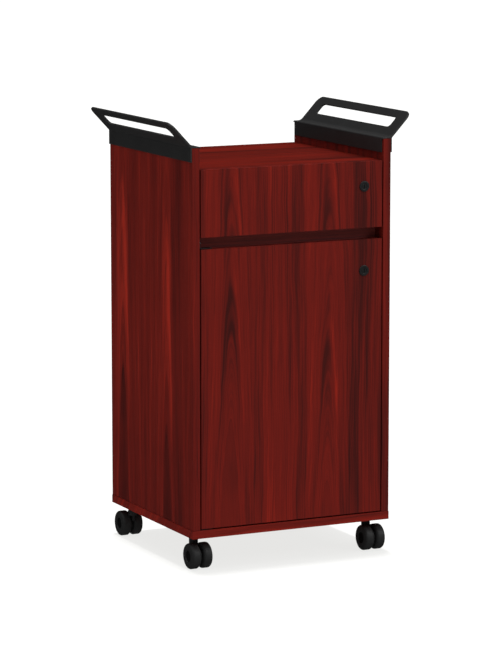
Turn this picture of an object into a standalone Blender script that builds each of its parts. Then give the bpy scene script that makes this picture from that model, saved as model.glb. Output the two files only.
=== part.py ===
"""Mobile cabinet lectern: a laminate cabinet on casters, with a tray top, a drawer, a door and
two carrying handles.  Metres, +Z up, the floor at Z = 0, the front towards -Y."""

import math

import bmesh
import bpy
from mathutils import Matrix, Vector

# ---------------------------------------------------------------- driving dimensions
BOARD = 0.019            # laminate board of the carcass, drawer front and door
WIDTH = 0.508            # over the two side panels
DEPTH = 0.460            # front edges to back edges
FRONT = -0.229           # Y of the front edges
BACK = FRONT + DEPTH
BASE = 0.077             # underside of the bottom panel above the floor
SIDE_TOP = BASE + 0.900  # top edges of the side panels
TRAY = BASE + 0.850      # the recessed top surface
INNER = WIDTH / 2 - BOARD            # inner faces of the side panels
FIT = 0.0003             # clearance between touching pieces
REVEAL = 0.0028          # gap around the drawer front and the door
EDGE = 0.0006            # broken edge of the boards

DRAWER_FRONT_LOW = BASE + 0.6953
DOOR_LOW = BASE + 0.022
DOOR_TOP = BASE + 0.6686
BACK_BOARD = 0.015
RAIL_FACE = FRONT + 0.038            # board at the back of the finger recess
RAIL_LOW = BASE + 0.640
DIVIDER_TOP = BASE + 0.6913
SHELF_BOARD = 0.016
SHELF_LOW = BASE + 0.330
SHELF_FRONT = FRONT + 0.045
SHELF_PIN_RADIUS = 0.0025
SHELF_PIN_ROWS = (FRONT + 0.080, FRONT + 0.400)

LOCK_X = 0.185
DRAWER_LOCK_Z = BASE + 0.792
DOOR_LOCK_Z = BASE + 0.5956
LOCK_PROUD = 0.002
LOCK_CAP_RADIUS = 0.0125
LOCK_RADIUS = 0.0092
PLUG_RADIUS = 0.0062
TAIL_RADIUS = 0.0038
CAM_THICK = 0.002
CAM_WIDTH = 0.014
CAM_REACH = 0.038
NUT_RADIUS = 0.0125
NUT_THICK = 0.003
STRIKE_STEEL = 0.0016
STRIKE_LENGTH = 0.032

BOX_HALF = 0.2220        # outer half width of the drawer box
BOX_SIDE = 0.012
BOX_DEPTH = 0.400
BOX_LOW = BASE + 0.704
BOX_TOP = BASE + 0.812
SLIDE_LENGTH = 0.400
SLIDE_Z = BASE + 0.758
SLIDE_STEEL = 0.0013

PIVOT_X = -INNER + REVEAL + 0.020    # the door turns about pins in its left end
PIVOT_Y = FRONT + BOARD / 2
PIN_RADIUS = 0.003
PIN_HOLE = 0.0033
PIVOT_STEEL = 0.0018
PIVOT_HALF = 0.0075      # half width of the pivot's bracket and plate

HANDLE_SHEET = 0.0025
HANDLE_PLATE = 0.0045
HANDLE_ANGLE = math.radians(46.7)    # slope of the grip plate
HANDLE_FLANGE_LOW = BASE + 0.868
FLANGE_SETBACK = 0.006   # the inner flange stops short of both ends
GRIP_TIP = (0.3056, BASE + 0.9596)   # top edge of the grip plate, right hand side, X and Z
GRIP_FILLET = 0.017
GRIP_BAR = 0.0202
GRIP_SLOT = 0.0304
GRIP_SLOT_ENDS = 0.043
GRIP_CORNER = 0.020
SLOT_CORNER = 0.009

WHEEL_RADIUS = 0.030
WHEEL_WIDTH = 0.0228
WHEEL_INNER = 0.0028     # inner face of each wheel from the caster's middle
WHEEL_SIDES = 24
HUB_RADIUS = 0.0140      # recess in each wheel's outer face
HUB_DEPTH = 0.0025
AXLE_RADIUS = 0.003
WEB_HALF = 0.0022        # the hood's web runs between the wheels
WEB_RADIUS = 0.0205
WHEEL_ROOM = 0.0309      # the neck is hollowed round the wheels to this radius
NECK_LOW = 0.0525        # foot of the neck above the floor
ARM_TOP = 0.0590         # top of the arm that joins the web to the neck
ARM_OVERLAP = 0.0070     # how far the arm runs past the swivel axis
NECK_RADIUS = 0.0105
STEM_RADIUS = 0.005
STEM_HOLE = 0.0053
STEM_RISE = 0.016
COLLAR = 0.003
CASTER_X = 0.225
CASTER_FRONT = FRONT + 0.060
CASTER_BACK = BACK - 0.054
TRAIL = 0.024            # axle from the swivel axis

MAHOGANY = ((0.155, 0.012, 0.009), 0.38, 0.0)
MAHOGANY_END = ((0.120, 0.011, 0.009), 0.42, 0.0)
DRAWER_BOARD = ((0.62, 0.52, 0.38), 0.55, 0.0)
BLACK_POWDER = ((0.018, 0.018, 0.019), 0.50, 0.2)
BLACK_LOCK = ((0.014, 0.018, 0.019), 0.32, 0.6)
ZINC = ((0.55, 0.56, 0.57), 0.35, 1.0)
BLACK_NYLON = ((0.022, 0.022, 0.023), 0.45, 0.0)


# ---------------------------------------------------------------- modelling helpers
for old in list(bpy.data.objects):
    bpy.data.objects.remove(old, do_unlink=True)

PARTS = bpy.data.collections.new("lectern_podium")
CUTTERS = bpy.data.collections.new("cutters")
for collection in (PARTS, CUTTERS):
    bpy.context.scene.collection.children.link(collection)


def finish(name, colour, roughness, metallic):
    """A Principled material for one piece."""
    made = bpy.data.materials.new(name)
    made.use_nodes = True
    shader = made.node_tree.nodes["Principled BSDF"]
    shader.inputs["Base Color"].default_value = (*colour, 1.0)
    shader.inputs["Roughness"].default_value = roughness
    shader.inputs["Metallic"].default_value = metallic
    return made


def new_object(name, mesh, look=None):
    """Link a mesh as a part, or as a cutter where it has no look."""
    made = bpy.data.objects.new(name, mesh)
    if look is None:
        CUTTERS.objects.link(made)
        made.hide_render = True
        made.display_type = "WIRE"
    else:
        PARTS.objects.link(made)
        mesh.materials.append(finish(name + "_finish", *look))
    return made


def mesh_of(shape):
    """Turn a bmesh into mesh data with its faces pointing out."""
    bmesh.ops.recalc_face_normals(shape, faces=shape.faces)
    mesh = bpy.data.meshes.new("shape")
    shape.to_mesh(mesh)
    shape.free()
    return mesh


def block(name, low, high, look=None, edge=0.0):
    """A board or bar between two corners, with its edges broken."""
    size = Vector(high) - Vector(low)
    shape = bmesh.new()
    bmesh.ops.create_cube(shape, size=1.0, matrix=Matrix.Diagonal((*size, 1.0)))
    made = new_object(name, mesh_of(shape), look)
    made.location = (Vector(low) + Vector(high)) / 2
    if edge:
        bevel = made.modifiers.new("broken_edges", "BEVEL")
        bevel.width = edge
        bevel.segments = 1
    return made


# Turns that lay a piece's own Z along an axis; "front" points it at -Y, "left" at -X.
AXIS_TURN = {
    "X": Matrix.Rotation(math.radians(90), 4, "Y"),
    "left": Matrix.Rotation(math.radians(-90), 4, "Y"),
    "Y": Matrix.Rotation(math.radians(-90), 4, "X"),
    "front": Matrix.Rotation(math.radians(90), 4, "X"),
    "Z": Matrix.Identity(4),
}


def rod(name, centre, radius, length, axis="Z", look=None, sides=24):
    """A round bar, or a drill of the same shape."""
    shape = bmesh.new()
    bmesh.ops.create_cone(shape, cap_ends=True, segments=sides, radius1=radius, radius2=radius,
                          depth=length, matrix=AXIS_TURN[axis])
    made = new_object(name, mesh_of(shape), look)
    made.location = centre
    made.data.shade_smooth()
    made.data.set_sharp_from_angle(angle=math.radians(40))
    return made


def outline(name, points, thickness, place, look=None):
    """A flat outline of the given thickness, made a solid in the plane that place sets."""
    curve = bpy.data.curves.new(name, "CURVE")
    curve.dimensions = "2D"
    curve.fill_mode = "BOTH"
    curve.extrude = thickness / 2
    spline = curve.splines.new("POLY")
    spline.points.add(len(points) - 1)
    for knot, (across, up) in zip(spline.points, points):
        knot.co = (across, up, 0.0, 1.0)
    spline.use_cyclic_u = True
    flat = bpy.data.objects.new(name, curve)
    bpy.context.scene.collection.objects.link(flat)
    bpy.context.view_layer.update()
    graph = bpy.context.evaluated_depsgraph_get()
    mesh = bpy.data.meshes.new_from_object(flat.evaluated_get(graph))
    bpy.data.objects.remove(flat, do_unlink=True)
    shape = bmesh.new()
    shape.from_mesh(mesh)
    bpy.data.meshes.remove(mesh)
    bmesh.ops.remove_doubles(shape, verts=shape.verts, dist=1e-6)
    made = new_object(name, mesh_of(shape), look)
    made.matrix_world = place
    return made


def plane(origin, across, up):
    """A placing matrix whose local X and Y lie along the two given directions."""
    across = Vector(across).normalized()
    up = Vector(up).normalized()
    turn = Matrix((across, up, across.cross(up))).transposed().to_4x4()
    return Matrix.Translation(origin) @ turn


def arc(centre, radius, start, end, steps):
    """Points along an arc, its angles in degrees."""
    points = []
    for step in range(steps + 1):
        angle = math.radians(start + (end - start) * step / steps)
        points.append((centre[0] + radius * math.cos(angle), centre[1] + radius * math.sin(angle)))
    return points


def rounded(half_width, half_height, radius, steps=5):
    """A rectangle with round corners about its own centre."""
    wide = half_width - radius
    high = half_height - radius
    points = []
    for quarter, (side, rise) in enumerate(((1, 1), (-1, 1), (-1, -1), (1, -1))):
        start = 90 * quarter
        points += arc((side * wide, rise * high), radius, start, start + 90, steps)
    return points


def turned(name, profile, axis, centre, look, sides=24, ring=False, first=0.0):
    """A turned piece: its profile of radius and height runs down the outer side."""
    mesh = bpy.data.meshes.new(name)
    count = len(profile)
    edges = [(index, index + 1) for index in range(count - 1)]
    if ring:
        edges.append((count - 1, 0))
    mesh.from_pydata([(radius, 0.0, height) for radius, height in profile], edges, [])
    mesh.transform(Matrix.Rotation(first, 4, "Z"))
    made = new_object(name, mesh, look)
    made.matrix_world = Matrix.Translation(centre) @ AXIS_TURN[axis]
    screw = made.modifiers.new("turn", "SCREW")
    screw.steps = sides
    screw.render_steps = sides
    screw.use_merge_vertices = True
    screw.merge_threshold = 1e-6
    screw.use_smooth_shade = True
    return made


def boolean(target, tool, operation="DIFFERENCE"):
    """Cut the target with a tool, or join the tool to it."""
    step = target.modifiers.new(tool.name, "BOOLEAN")
    step.operation = operation
    step.object = tool
    step.solver = "EXACT"


def parent_to(empty_name, location, pieces):
    """Gather pieces under an empty on their joint's axis, without moving them."""
    hub = bpy.data.objects.new(empty_name, None)
    hub.location = location
    PARTS.objects.link(hub)
    bpy.context.view_layer.update()
    for piece in pieces:
        piece.parent = hub
        piece.matrix_parent_inverse = hub.matrix_world.inverted()
    return hub


# ---------------------------------------------------------------- cabinet
def make_side_panels():
    """Two full-height boards that stand on the bottom panel; each takes two shelf pins."""
    for side, name in ((-1, "side_panel_left"), (1, "side_panel_right")):
        inside, outside = side * INNER, side * WIDTH / 2
        panel = block(name, (min(inside, outside), FRONT, BASE + BOARD + FIT),
                      (max(inside, outside), BACK, SIDE_TOP), MAHOGANY, EDGE)
        for row, y in enumerate(SHELF_PIN_ROWS):
            hole = rod(f"{name}_pin_hole_{row}", (inside, y, SHELF_LOW - SHELF_PIN_RADIUS - FIT),
                       SHELF_PIN_RADIUS + FIT, 0.0210, "X", sides=16)
            boolean(panel, hole)


def make_boards():
    """The fixed boards between the side panels, and the bottom panel under them."""
    span = INNER - FIT
    block("top_panel", (-span, FRONT + BOARD + 0.0012, TRAY - BOARD), (span, BACK, TRAY), MAHOGANY, EDGE)
    block("back_panel", (-span, BACK - BACK_BOARD, BASE + BOARD + FIT),
          (span, BACK - 0.0002, TRAY - BOARD - FIT), MAHOGANY, EDGE)
    block("pull_rail", (-span, RAIL_FACE, RAIL_LOW), (span, RAIL_FACE + BOARD, DIVIDER_TOP),
          MAHOGANY_END, EDGE)
    block("divider_panel", (-span, RAIL_FACE + BOARD + FIT, DIVIDER_TOP - BOARD),
          (span, BACK - BACK_BOARD - FIT, DIVIDER_TOP), MAHOGANY_END)
    block("shelf", (-span + 0.0006, SHELF_FRONT, SHELF_LOW),
          (span - 0.0006, BACK - BACK_BOARD - 0.002, SHELF_LOW + SHELF_BOARD), MAHOGANY_END, EDGE)
    bottom = block("bottom_panel", (-WIDTH / 2 - 0.001, FRONT, BASE),
                   (WIDTH / 2 + 0.001, BACK, BASE + BOARD), MAHOGANY, EDGE)
    for name, x, y, _ in CASTER_PLACES:
        socket = rod(f"{name}_socket", (x, y, BASE), STEM_HOLE, 2 * (STEM_RISE + FIT))
        boolean(bottom, socket)


def make_shelf_pins():
    """Steel pins in the side panels; the shelf rests on them."""
    length = 0.0160
    for side, hand in ((-1, "left"), (1, "right")):
        for y, place in zip(SHELF_PIN_ROWS, ("front", "back")):
            x = side * (INNER + 0.0100 - length / 2)
            rod(f"shelf_pin_{hand}_{place}", (x, y, SHELF_LOW - SHELF_PIN_RADIUS - FIT),
                SHELF_PIN_RADIUS, length, "X", ZINC, sides=16)


# ---------------------------------------------------------------- handles
def handle_section():
    """Section of the right handle: a saddle over the panel's top, and a sloping grip plate."""
    tip = Vector(GRIP_TIP)
    down = Vector((math.sin(HANDLE_ANGLE), -math.cos(HANDLE_ANGLE)))
    saddle_top = SIDE_TOP + FIT + HANDLE_SHEET
    bend_x = tip.x - (tip.y - saddle_top) / math.tan(HANDLE_ANGLE)
    tangent = GRIP_FILLET * math.tan(HANDLE_ANGLE / 2)
    fillet = arc((bend_x - tangent, saddle_top + GRIP_FILLET), GRIP_FILLET, -90,
                 -90 + math.degrees(HANDLE_ANGLE), 6)
    inner_in = INNER - FIT
    outer_in = WIDTH / 2 + FIT
    outer_out = outer_in + HANDLE_SHEET
    under_tip = tip + down * HANDLE_PLATE
    under_z = under_tip.y - (under_tip.x - outer_out) * math.tan(HANDLE_ANGLE)
    bend_radius = 0.003
    bend = arc((inner_in - HANDLE_SHEET + bend_radius, saddle_top - bend_radius), bend_radius, 180, 90, 3)
    return ([(inner_in, HANDLE_FLANGE_LOW), (inner_in - HANDLE_SHEET, HANDLE_FLANGE_LOW)]
            + bend + fillet
            + [tuple(tip), tuple(under_tip), (outer_out, under_z), (outer_out, HANDLE_FLANGE_LOW),
               (outer_in, HANDLE_FLANGE_LOW), (outer_in, SIDE_TOP + FIT), (inner_in, SIDE_TOP + FIT)])


def make_handles():
    """A sheet handle on each side panel, with one long slot and round outer corners."""
    rise = Vector((math.cos(HANDLE_ANGLE), 0.0, math.sin(HANDLE_ANGLE)))
    down = Vector((rise.z, 0.0, -rise.x))
    middle_y = (FRONT + BACK) / 2
    for side, name in ((-1, "handle_left"), (1, "handle_right")):
        mirror = Matrix.Diagonal((side, 1.0, 1.0, 1.0))
        along = mirror @ rise
        section = [(side * x, z) for x, z in handle_section()]
        handle = outline(name, section, DEPTH, plane((0, middle_y, 0), (1, 0, 0), (0, 0, 1)), BLACK_POWDER)
        tip = mirror @ (Vector((GRIP_TIP[0], middle_y, GRIP_TIP[1])) + down * HANDLE_PLATE / 2)
        slot_centre = tip - along * (GRIP_BAR + GRIP_SLOT / 2)
        slot = outline(f"{name}_slot", rounded(DEPTH / 2 - GRIP_SLOT_ENDS, GRIP_SLOT / 2, SLOT_CORNER),
                       0.016, plane(slot_centre, (0, 1, 0), along))
        boolean(handle, slot)
        for end, word in ((-1, "front"), (1, "back")):
            start_y = middle_y + end * (DEPTH / 2 - FLANGE_SETBACK)
            end_y = middle_y + end * DEPTH
            beyond = 0.010
            near_x, far_x = side * (INNER - beyond), side * (INNER - FIT / 2)
            boolean(handle, block(f"{name}_{word}_setback",
                                  (min(near_x, far_x), min(start_y, end_y), HANDLE_FLANGE_LOW - beyond),
                                  (max(near_x, far_x), max(start_y, end_y), SIDE_TOP - 0.0005)))
            corner = [(0, beyond), (-GRIP_CORNER, beyond)]
            corner += arc((-GRIP_CORNER, -GRIP_CORNER), GRIP_CORNER, 90, 0, 6)
            corner += [(beyond, -GRIP_CORNER), (beyond, beyond)]
            at = tip + Vector((0, end * DEPTH / 2, 0))
            nib = outline(f"{name}_{word}_corner", [(end * across, up) for across, up in corner],
                          0.016, plane(at, (0, 1, 0), along))
            boolean(handle, nib)


# ---------------------------------------------------------------- locks
def make_lock(owner, z, body_end, nut_front, cam_front, cam_points_down):
    """A cam lock through a board: body with its cap, nut, turning plug and cam."""
    face = FRONT - LOCK_PROUD
    depth = body_end - face
    bore = PLUG_RADIUS + FIT
    chamfer = 0.0010
    cap_back = LOCK_PROUD - FIT
    profile = [(bore, 0), (LOCK_CAP_RADIUS - chamfer, 0), (LOCK_CAP_RADIUS, -chamfer),
               (LOCK_CAP_RADIUS, -cap_back), (LOCK_RADIUS, -cap_back), (LOCK_RADIUS, -depth), (bore, -depth)]
    body = turned(f"{owner}_lock_body", profile, "front", (LOCK_X, face, z), BLACK_LOCK, ring=True)

    nut = outline(f"{owner}_lock_nut", arc((0, 0), NUT_RADIUS, 0, 300, 5), NUT_THICK,
                  plane((LOCK_X, nut_front + NUT_THICK / 2, z), (1, 0, 0), (0, 0, 1)), ZINC)
    boolean(nut, rod(f"{owner}_lock_nut_bore", (LOCK_X, nut_front, z), LOCK_RADIUS + FIT, 0.02, "Y"))

    head = face + 0.0005
    overlap = 0.002
    tail_end = cam_front + CAM_THICK + 0.0015
    plug = rod(f"{owner}_lock_plug", (LOCK_X, (head + body_end) / 2, z), PLUG_RADIUS,
               body_end - head, "Y", BLACK_LOCK)
    tail = rod(f"{owner}_lock_tail", (LOCK_X, (body_end - overlap + tail_end) / 2, z), TAIL_RADIUS,
               tail_end - body_end + overlap, "Y")
    boolean(plug, tail, "UNION")
    slot_half, slot_rise, slot_depth = 0.0009, 0.0042, 0.008
    keyway = block(f"{owner}_lock_keyway", (LOCK_X - slot_half, head - slot_depth, z - slot_rise),
                   (LOCK_X + slot_half, head + slot_depth, z + slot_rise))
    boolean(plug, keyway)

    half = CAM_WIDTH / 2
    nose = 0.004
    blade = arc((0, 0), half, 90, 270, 8) + [(CAM_REACH - nose, -half), (CAM_REACH, -half + nose)]
    blade += [(CAM_REACH, half - nose), (CAM_REACH - nose, half)]
    if cam_points_down:
        across, up = (0, 0, -1), (-1, 0, 0)
    else:
        across, up = (-1, 0, 0), (0, 0, 1)
    cam = outline(f"{owner}_lock_cam", blade, CAM_THICK,
                  plane((LOCK_X, cam_front + CAM_THICK / 2, z), across, up), ZINC)
    boolean(cam, rod(f"{owner}_lock_cam_hole", (LOCK_X, cam_front, z), TAIL_RADIUS + FIT, 0.02, "Y"))
    parent_to(f"{owner}_lock_axis", (LOCK_X, face, z), [plug, cam])
    return [body, nut]


def make_drawer_strike():
    """An angle under the top panel that the drawer's cam turns up behind."""
    face = FRONT + 0.0325
    under = TRAY - BOARD - FIT
    foot, drop = 0.0120, 0.0170
    angle = [(-foot, 0), (-foot, -STRIKE_STEEL), (-STRIKE_STEEL, -STRIKE_STEEL), (-STRIKE_STEEL, -drop),
             (0, -drop), (0, 0)]
    outline("drawer_strike", angle, STRIKE_LENGTH,
            plane((LOCK_X, face + STRIKE_STEEL, under), (0, 1, 0), (0, 0, 1)), ZINC)


def make_door_strike():
    """An angle on the right side panel that the door's cam turns behind."""
    wall = INNER - FIT
    stand, foot = 0.0135, 0.0180
    angle = [(0, 0), (-stand, 0), (-stand, STRIKE_STEEL), (-STRIKE_STEEL, STRIKE_STEEL),
             (-STRIKE_STEEL, foot), (0, foot)]
    outline("door_strike", angle, STRIKE_LENGTH,
            plane((wall, FRONT + 0.0212, DOOR_LOCK_Z), (1, 0, 0), (0, 1, 0)), ZINC)


# ---------------------------------------------------------------- drawer
def make_drawer():
    """The drawer front with its box behind, on three-part slides."""
    front = block("drawer_front", (-INNER + REVEAL, FRONT, DRAWER_FRONT_LOW),
                  (INNER - REVEAL, FRONT + BOARD, TRAY), MAHOGANY, EDGE)
    start = FRONT + BOARD + FIT
    end = start + BOX_DEPTH
    groove_low, groove_high = BOX_LOW + 0.008, BOX_LOW + 0.0126
    groove_half = BOX_HALF - BOX_SIDE + 0.006
    groove = block("drawer_groove", (-groove_half, start - 0.01, groove_low),
                   (groove_half, end + 0.01, groove_high))
    pieces = [front]
    for side, name in ((-1, "drawer_side_left"), (1, "drawer_side_right")):
        inside, outside = side * (BOX_HALF - BOX_SIDE), side * BOX_HALF
        board = block(name, (min(inside, outside), start, BOX_LOW), (max(inside, outside), end, BOX_TOP),
                      DRAWER_BOARD)
        boolean(board, groove)
        pieces.append(board)
    span = BOX_HALF - BOX_SIDE - FIT
    inner_front = block("drawer_inner_front", (-span, start, BOX_LOW), (span, start + BOX_SIDE, BOX_TOP),
                        DRAWER_BOARD)
    back = block("drawer_back", (-span, end - BOX_SIDE, BOX_LOW + 0.0135), (span, end, BOX_TOP - 0.008),
                 DRAWER_BOARD)
    bottom = block("drawer_bottom", (-groove_half + FIT, start + BOX_SIDE + FIT, groove_low + FIT),
                   (groove_half - FIT, end, groove_high - FIT), DRAWER_BOARD)
    bore = rod("drawer_lock_bore", (LOCK_X, FRONT, DRAWER_LOCK_Z), LOCK_RADIUS + FIT, 0.12, "Y")
    boolean(front, bore)
    boolean(inner_front, bore)
    pieces += [inner_front, back, bottom]
    pieces += make_lock("drawer", DRAWER_LOCK_Z, FRONT + 0.0347, start + BOX_SIDE + FIT,
                        FRONT + 0.0362, cam_points_down=False)
    pieces += make_slides()
    hub = parent_to("drawer_slide_axis", (0, FRONT, SLIDE_Z), pieces)
    bpy.data.objects["drawer_lock_axis"].parent = hub
    bpy.data.objects["drawer_lock_axis"].matrix_parent_inverse = hub.matrix_world.inverted()


def make_slides():
    """Telescopic steel slides: cabinet, middle and drawer members nested in one another."""
    moving = []
    middle_y = FRONT + 0.024 + SLIDE_LENGTH / 2
    room = INNER - BOX_HALF
    for side, hand in ((-1, "left"), (1, "right")):
        at = (side * BOX_HALF, middle_y, SLIDE_Z)
        spread = plane(at, (side, 0, 0), (0, 0, side * 1.0))
        members = (
            ("cabinet", room - FIT, -1, 0.0225, 0.0090),
            ("middle", room - 0.0040, -1, 0.0195, 0.0040),
            ("drawer", FIT, 1, 0.0165, 0.0055),
        )
        for word, web, way, half, flange in members:
            channel = [(web, -half), (web, half), (web + way * flange, half),
                       (web + way * flange, half - SLIDE_STEEL), (web + way * SLIDE_STEEL, half - SLIDE_STEEL),
                       (web + way * SLIDE_STEEL, SLIDE_STEEL - half),
                       (web + way * flange, SLIDE_STEEL - half), (web + way * flange, -half)]
            member = outline(f"slide_{hand}_{word}", channel, SLIDE_LENGTH, spread, ZINC)
            if word == "drawer":
                moving.append(member)
            if word == "middle":
                parent_to(f"slide_{hand}_middle_axis", at, [member])
    return moving


# ---------------------------------------------------------------- door
def make_door():
    """The door with its lock; it turns about a pin at the top and a pin at the bottom."""
    door = block("door", (-INNER + REVEAL, FRONT, DOOR_LOW), (INNER - REVEAL, FRONT + BOARD, DOOR_TOP),
                 MAHOGANY, EDGE)
    boolean(door, rod("door_lock_bore", (LOCK_X, FRONT, DOOR_LOCK_Z), LOCK_RADIUS + FIT, 0.12, "Y"))
    for word, z in (("top", DOOR_TOP), ("bottom", DOOR_LOW)):
        boolean(door, rod(f"door_{word}_pin_hole", (PIVOT_X, PIVOT_Y, z), PIN_HOLE, 0.044, sides=16))
    pieces = [door] + make_lock("door", DOOR_LOCK_Z, FRONT + 0.0246, FRONT + BOARD + FIT,
                                FRONT + 0.0262, cam_points_down=True)
    hub = parent_to("door_axis", (PIVOT_X, PIVOT_Y, DOOR_LOW), pieces)
    bpy.data.objects["door_lock_axis"].parent = hub
    bpy.data.objects["door_lock_axis"].matrix_parent_inverse = hub.matrix_world.inverted()


def make_pivots():
    """The bracket over the door's top end and the plate under its bottom end, each with its pin."""
    wall = -INNER + FIT
    reach = PIVOT_X + 0.009 - wall
    rise = 0.020
    low = DOOR_TOP + 0.0010
    angle = [(0, 0), (reach, 0), (reach, PIVOT_STEEL), (PIVOT_STEEL, PIVOT_STEEL), (PIVOT_STEEL, rise),
             (0, rise)]
    bracket = outline("door_top_bracket", angle, 2 * PIVOT_HALF,
                      plane((wall, PIVOT_Y, low), (1, 0, 0), (0, 0, 1)), BLACK_POWDER)
    overlap = 0.0008
    pin_length = 0.020
    top_pin = rod("door_top_pin", (PIVOT_X, PIVOT_Y, low + overlap - pin_length / 2), PIN_RADIUS,
                  pin_length, sides=16)
    boolean(bracket, top_pin, "UNION")
    floor = BASE + BOARD + FIT
    plate = block("door_bottom_pivot", (wall + 0.001, PIVOT_Y - PIVOT_HALF, floor),
                  (PIVOT_X + 0.009, PIVOT_Y + PIVOT_HALF, floor + PIVOT_STEEL), BLACK_POWDER)
    bottom_pin = rod("door_bottom_pin", (PIVOT_X, PIVOT_Y, floor + overlap + pin_length / 2), PIN_RADIUS,
                     pin_length, sides=16)
    boolean(plate, bottom_pin, "UNION")


# ---------------------------------------------------------------- casters
CASTER_PLACES = (
    ("caster_front_left", -CASTER_X, CASTER_FRONT, -1),
    ("caster_front_right", CASTER_X, CASTER_FRONT, -1),
    ("caster_back_left", -CASTER_X, CASTER_BACK, 1),
    ("caster_back_right", CASTER_X, CASTER_BACK, 1),
)


def wheel_profile():
    """Half section of a wheel: round rims, a hub recess outside, and a bore for the axle."""
    radius = WHEEL_RADIUS / math.cos(math.pi / WHEEL_SIDES)
    outer_rim, inner_rim, inner_drop = 0.0055, 0.0060, 0.0085
    bore = AXLE_RADIUS + FIT
    outer = WHEEL_WIDTH
    points = [(bore, outer - HUB_DEPTH), (HUB_RADIUS - 0.0005, outer - HUB_DEPTH), (HUB_RADIUS, outer)]
    points += arc((radius - outer_rim, outer - outer_rim), outer_rim, 90, 0, 3)
    for across, up in arc((0, 0), 1.0, 0, -90, 4):
        points.append((radius - inner_drop * (1 - across), inner_rim * (1 + up)))
    return points + [(bore, 0.0)]


def make_caster(name, x, y, way):
    """A stem caster: stem and collar fixed in the bottom panel, hood, axle and twin wheels."""
    collar_low = BASE - FIT - COLLAR
    stem_low = BASE - 0.0150
    stem_top = BASE + STEM_RISE
    point = 0.001
    collar_radius = NECK_RADIUS - 0.0007
    stem_profile = [(0, stem_top), (STEM_RADIUS - point, stem_top), (STEM_RADIUS, stem_top - point),
                    (STEM_RADIUS, BASE - FIT), (collar_radius, BASE - FIT), (collar_radius, collar_low),
                    (STEM_RADIUS, collar_low), (STEM_RADIUS, stem_low), (0, stem_low)]
    turned(f"{name}_stem", stem_profile, "Z", (x, y, 0), ZINC, sides=20)

    axle_y = y + way * TRAIL
    axle_z = WHEEL_RADIUS
    neck_top = collar_low - FIT
    hood = rod(f"{name}_hood", (x, axle_y, axle_z), WEB_RADIUS, 2 * WEB_HALF, "X", BLACK_NYLON, sides=32)
    neck = rod(f"{name}_neck", (x, y, (neck_top + NECK_LOW) / 2), NECK_RADIUS, neck_top - NECK_LOW)
    room_width = 4 * NECK_RADIUS
    boolean(neck, rod(f"{name}_wheel_room", (x, axle_y, axle_z), WHEEL_ROOM, room_width, "X", sides=48))
    arm_start = y - way * ARM_OVERLAP
    arm_half = WEB_HALF - 0.0001
    arm = block(f"{name}_arm", (x - arm_half, min(arm_start, axle_y), axle_z + 0.0100),
                (x + arm_half, max(arm_start, axle_y), ARM_TOP))
    boolean(hood, arm, "UNION")
    boolean(hood, neck, "UNION")
    boolean(hood, rod(f"{name}_stem_bore", (x, y, neck_top), STEM_HOLE, 0.0250))
    boolean(hood, rod(f"{name}_axle_bore", (x, axle_y, axle_z), AXLE_RADIUS + FIT, 0.0200, "X", sides=16))
    axle_half = WHEEL_INNER + WHEEL_WIDTH - HUB_DEPTH - 0.0005
    axle = rod(f"{name}_axle", (x, axle_y, axle_z), AXLE_RADIUS, 2 * axle_half, "X", ZINC, sides=16)
    pieces = [hood, axle]
    for side, word, facing in ((-1, "left", "left"), (1, "right", "X")):
        centre = (x + side * WHEEL_INNER, axle_y, axle_z)
        wheel = turned(f"{name}_wheel_{word}", wheel_profile(), facing, centre, BLACK_NYLON,
                       sides=WHEEL_SIDES, ring=True, first=math.pi / WHEEL_SIDES)
        pieces.append(wheel)
    parent_to(f"{name}_swivel_axis", (x, y, 0), pieces)


make_side_panels()
make_boards()
make_shelf_pins()
make_handles()
make_drawer_strike()
make_door_strike()
make_drawer()
make_door()
make_pivots()
for place in CASTER_PLACES:
    make_caster(*place)
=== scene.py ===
import math

import bmesh
import bpy
from mathutils import Matrix, Vector


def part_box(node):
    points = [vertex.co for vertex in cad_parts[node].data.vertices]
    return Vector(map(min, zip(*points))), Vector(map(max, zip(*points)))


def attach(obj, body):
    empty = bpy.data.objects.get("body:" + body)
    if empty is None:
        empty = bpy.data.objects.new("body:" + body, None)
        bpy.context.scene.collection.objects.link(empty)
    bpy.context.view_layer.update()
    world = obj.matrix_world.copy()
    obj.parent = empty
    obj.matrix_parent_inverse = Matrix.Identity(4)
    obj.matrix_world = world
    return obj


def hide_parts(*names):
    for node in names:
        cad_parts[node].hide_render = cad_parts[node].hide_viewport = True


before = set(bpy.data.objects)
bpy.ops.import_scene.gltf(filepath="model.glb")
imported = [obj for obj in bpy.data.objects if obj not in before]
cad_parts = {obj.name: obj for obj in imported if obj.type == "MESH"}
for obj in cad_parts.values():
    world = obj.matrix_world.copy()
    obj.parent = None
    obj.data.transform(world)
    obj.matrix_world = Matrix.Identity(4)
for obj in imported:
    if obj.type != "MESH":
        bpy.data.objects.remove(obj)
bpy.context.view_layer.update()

bpy.ops.object.select_all(action="DESELECT")


# ---------------------------------------------------------------- studio
# A white sweep under a bright white room. A soft key stands on the right of the camera, a weak fill
# on the far left and a broad light overhead; a narrow one draws the flat shade under the cabinet.
# The lens is long and stands a little above the handles.
LENS = 178.95
CAMERA_PLACE = (-3.3806, -6.9504, 1.7552)
CAMERA_PITCH = math.radians(90 - 9.184)
CAMERA_YAW = math.radians(-25.956)
FLOOR_SIZE = 90.0
FLOOR_GREY = (0.06, 0.06, 0.06, 1.0)
FLOOR_GLOW = (1.0, 1.0, 0.983, 1.0)
MIDDLE = (0.0, 0.0, 0.5)
FOOT = (0.0, 0.0, 0.0)

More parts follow.
